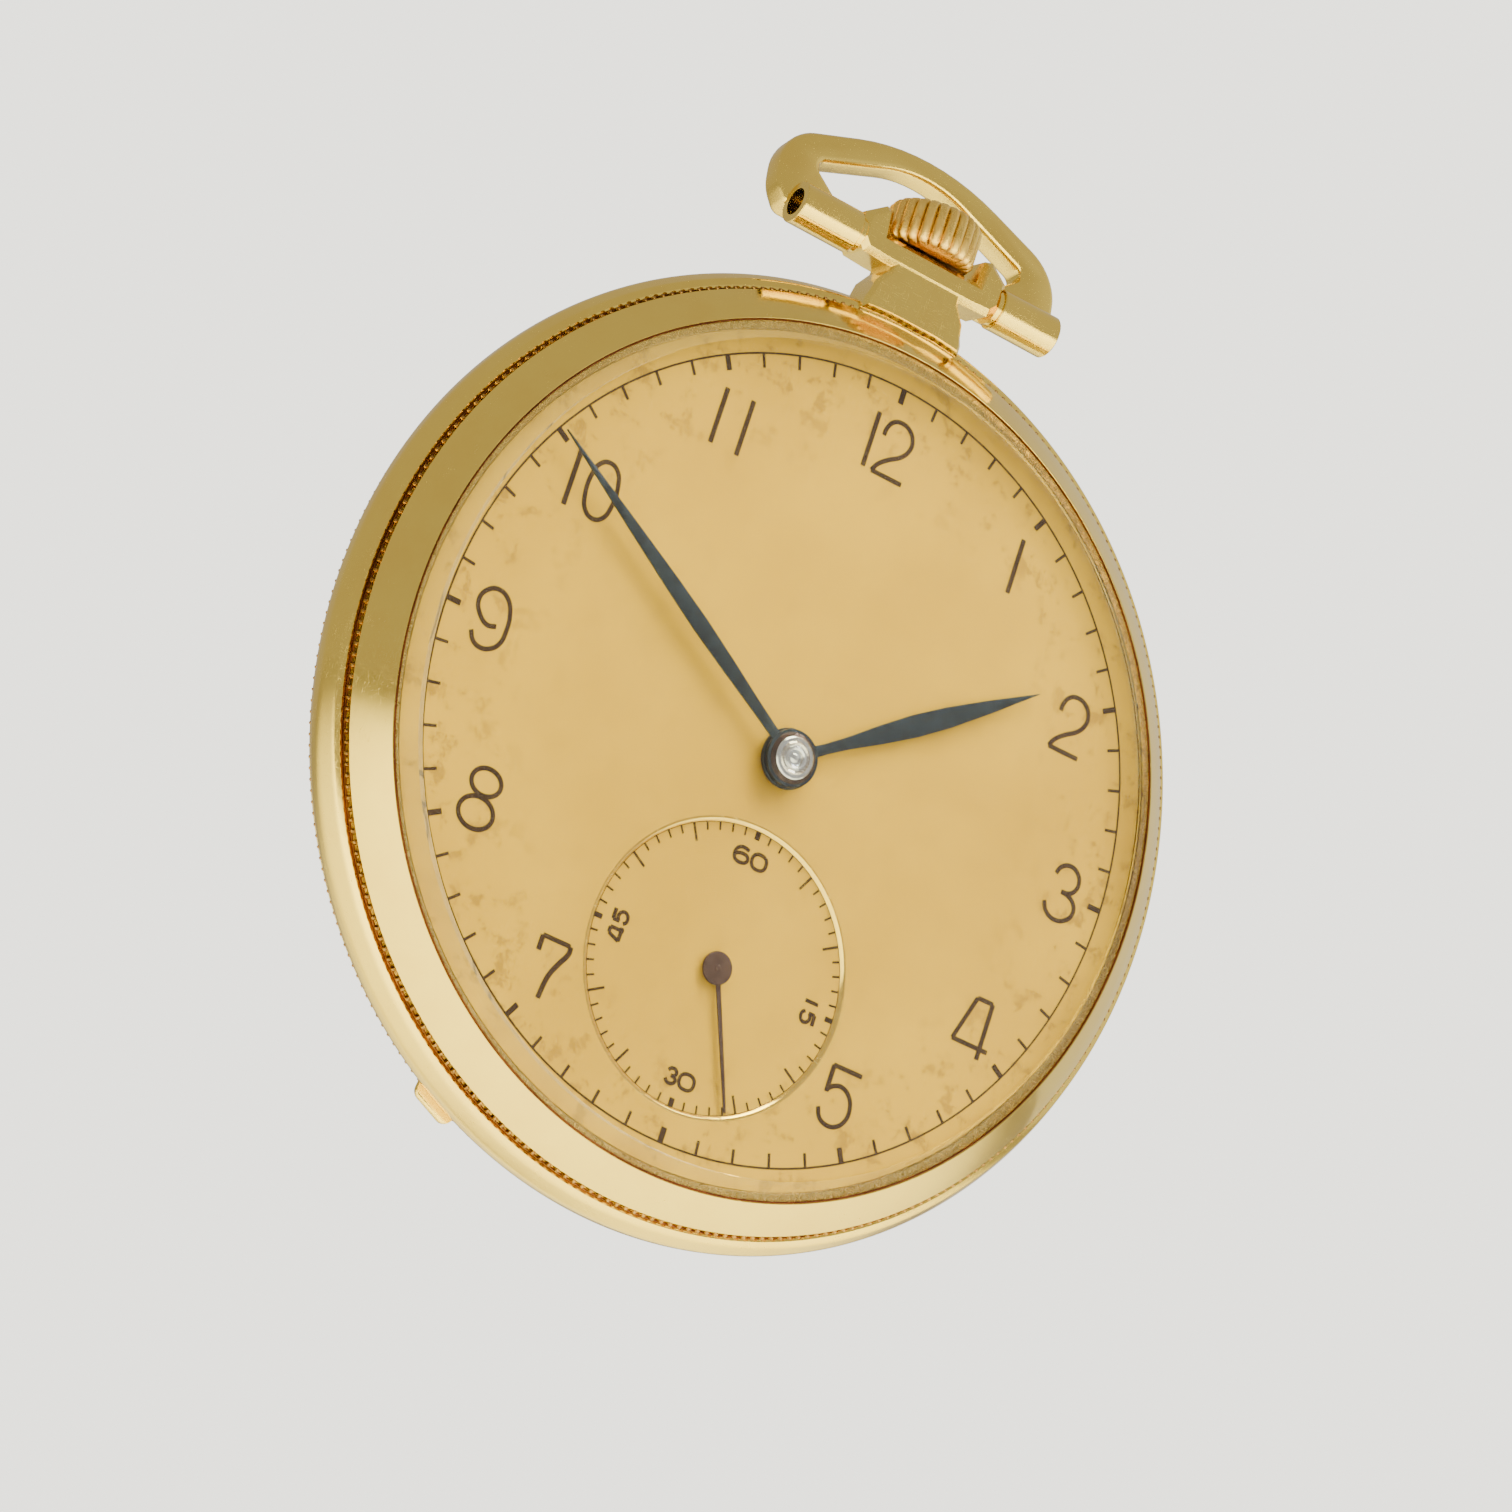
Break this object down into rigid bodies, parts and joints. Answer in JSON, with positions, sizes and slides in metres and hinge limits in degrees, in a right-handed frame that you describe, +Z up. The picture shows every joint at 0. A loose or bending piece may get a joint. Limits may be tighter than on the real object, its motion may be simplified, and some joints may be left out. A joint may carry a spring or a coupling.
{
  "type": "pocket watch",
  "caption": "Slim open face pocket watch with a wide plain bezel, sub-seconds dial, fluted crown and stirrup bow, with a hand-wound lever movement inside.",
  "frame": {"origin": "middle of the bow's inside crest, where a chain's clip holds the hanging watch, with the bow leaning back 16 degrees", "axes": "+Z up along the stem towards 12 o'clock, -Y out of the dial, +X towards 3 o'clock"},
  "size_m": [0.048, 0.0082, 0.0572],
  "materials": {
    "yellow_gold": "polished yellow gold plate, lightly tarnished",
    "satin_gold": "satin gold",
    "crystal": "clear domed crystal",
    "champagne_dial": "fine matt champagne gilt",
    "blued_steel": "blued",
    "plum_steel": "purple-brown tempered",
    "nickel_silver": "fine grained nickel silver",
    "gilt_brass": "gilt",
    "polished_steel": "polished",
    "spring_alloy": "grey",
    "ruby": "polished synthetic ruby"
  },
  "bodies": {
    "case": {"case_middle": "yellow_gold", "pendant": "yellow_gold", "bow_screw_left": "polished_steel", "bow_screw_right": "polished_steel", "dial": "champagne_dial", "seconds_dial": "champagne_dial", "main_plate": "nickel_silver", "barrel_bridge": "nickel_silver", "train_bridge": "nickel_silver", "balance_cock": "nickel_silver", "pallet_bridge": "nickel_silver", "barrel_bridge_screw_1": "polished_steel", "barrel_bridge_screw_2": "polished_steel", "train_bridge_screw_1": "polished_steel", "train_bridge_screw_2": "polished_steel", "balance_cock_screw": "polished_steel", "case_screw_1": "polished_steel", "case_screw_2": "polished_steel", "third_jewel": "ruby", "fourth_jewel": "ruby", "escape_jewel": "ruby", "balance_jewel": "ruby", "hairspring": "spring_alloy", "crown_wheel_screw": "polished_steel", "click_spring": "polished_steel"},
    "bow": {"bow": "yellow_gold"},
    "bezel": {"bezel": "yellow_gold", "crystal": "crystal"},
    "back_cover": {"back_cover": "yellow_gold"},
    "winding_pinions": {"winding_pinion": "polished_steel", "sliding_pinion": "polished_steel"},
    "crown": {"crown": "satin_gold", "stem": "polished_steel"},
    "crown_wheel": {"crown_wheel": "polished_steel"},
    "ratchet": {"ratchet_wheel": "polished_steel", "ratchet_screw": "polished_steel", "barrel_arbor": "polished_steel"},
    "click": {"click": "polished_steel"},
    "fourth": {"fourth_wheel": "gilt_brass", "seconds_hand": "plum_steel"},
    "third": {"third_wheel": "gilt_brass"},
    "centre": {"centre_wheel": "gilt_brass", "cannon_pinion": "polished_steel", "minute_hand": "blued_steel"},
    "barrel": {"barrel_drum": "gilt_brass", "barrel_cover": "gilt_brass", "mainspring": "spring_alloy"},
    "escape": {"escape_wheel": "polished_steel"},
    "minute_wheel": {"minute_wheel": "gilt_brass"},
    "hour": {"hour_wheel": "gilt_brass", "hour_hand": "blued_steel"},
    "pallet": {"pallet_fork": "polished_steel"},
    "balance": {"balance_wheel": "gilt_brass"},
    "regulator": {"regulator": "polished_steel"},
    "setting_lever": {"setting_lever": "polished_steel"}
  },
  "joints": [
    {"name": "bow_swing", "type": "hinge", "parent": "case", "child": "bow", "pos_m": [0, -0.00308, -0.00516], "axis": [1, 0, 0], "range_deg": [-72, 140]},
    {"name": "bezel_lift", "type": "slide", "parent": "case", "child": "bezel", "axis": [0, -1, 0], "range_m": [0, 0.003]},
    {"name": "back_cover_lift", "type": "slide", "parent": "case", "child": "back_cover", "axis": [0, 1, 0], "range_m": [0, 0.003]},
    {"name": "crown_turn", "type": "hinge", "parent": "case", "child": "winding_pinions", "pos_m": [0, -0.00276, -0.01782], "axis": [0, 0, 1], "continuous": true},
    {"name": "crown_pull", "type": "slide", "parent": "winding_pinions", "child": "crown", "axis": [0, 0, 1], "range_m": [0, 0.0008]},
    {"name": "setting_lever_turn", "type": "hinge", "parent": "case", "child": "setting_lever", "pos_m": [0.0034, -0.00458, -0.01872], "axis": [0, 1, 0], "range_deg": [0, 17]},
    {"name": "crown_wheel_turn", "type": "hinge", "parent": "case", "child": "crown_wheel", "pos_m": [0, -0.00078, -0.02079], "axis": [0, 1, 0], "continuous": true},
    {"name": "ratchet_turn", "type": "hinge", "parent": "case", "child": "ratchet", "pos_m": [-0.00653, -0.00078, -0.02526], "axis": [0, 1, 0], "continuous": true},
    {"name": "click_lift", "type": "hinge", "parent": "case", "child": "click", "pos_m": [-0.01227, -0.00078, -0.02857], "axis": [0, 1, 0], "range_deg": [-12, 0], "stiffness_Nm_per_rad": 0.00001, "springref_deg": 11.46},
    {"name": "seconds_turn", "type": "hinge", "parent": "case", "child": "fourth", "pos_m": [0, -0.00496, -0.04265], "axis": [0, 1, 0], "continuous": true},
    {"name": "third_turn", "type": "hinge", "parent": "case", "child": "third", "pos_m": [-0.00353, -0.00328, -0.03765], "axis": [0, 1, 0], "continuous": true},
    {"name": "minutes_turn", "type": "hinge", "parent": "case", "child": "centre", "pos_m": [0, -0.00496, -0.03179], "axis": [0, 1, 0], "continuous": true},
    {"name": "barrel_turn", "type": "hinge", "parent": "case", "child": "barrel", "pos_m": [-0.00653, -0.00328, -0.02526], "axis": [0, 1, 0], "continuous": true},
    {"name": "escape_turn", "type": "hinge", "parent": "case", "child": "escape", "pos_m": [0.00478, -0.00328, -0.04393], "axis": [0, 1, 0], "continuous": true},
    {"name": "minute_wheel_turn", "type": "hinge", "parent": "case", "child": "minute_wheel", "pos_m": [0.00162, -0.00458, -0.02898], "axis": [0, 1, 0], "continuous": true},
    {"name": "hours_turn", "type": "hinge", "parent": "case", "child": "hour", "pos_m": [0, -0.00458, -0.03179], "axis": [0, 1, 0], "continuous": true},
    {"name": "pallet_rock", "type": "hinge", "parent": "case", "child": "pallet", "pos_m": [0.00681, -0.00328, -0.04186], "axis": [0, 1, 0], "range_deg": [-4, 4]},
    {"name": "balance_swing", "type": "hinge", "parent": "case", "child": "balance", "pos_m": [0.01059, -0.00328, -0.038], "axis": [0, 1, 0], "range_deg": [-270, 270], "stiffness_Nm_per_rad": 0.0000003},
    {"name": "regulator_turn", "type": "hinge", "parent": "case", "child": "regulator", "pos_m": [0.01059, -0.00078, -0.038], "axis": [0, 1, 0], "range_deg": [-15, 15]}
  ],
  "couplings": [
    {"joint": "setting_lever_turn", "follows": "crown_pull", "rad_per_m": 363.64},
    {"joint": "crown_wheel_turn", "follows": "crown_turn", "ratio": -0.58333},
    {"joint": "ratchet_turn", "follows": "crown_turn", "ratio": 0.35},
    {"joint": "third_turn", "follows": "seconds_turn", "ratio": -0.13333},
    {"joint": "minutes_turn", "follows": "seconds_turn", "ratio": 0.016667},
    {"joint": "barrel_turn", "follows": "seconds_turn", "ratio": -0.0027778},
    {"joint": "escape_turn", "follows": "seconds_turn", "ratio": -10},
    {"joint": "minute_wheel_turn", "follows": "seconds_turn", "ratio": -0.0055556},
    {"joint": "hours_turn", "follows": "seconds_turn", "ratio": 0.0013889}
  ]
}
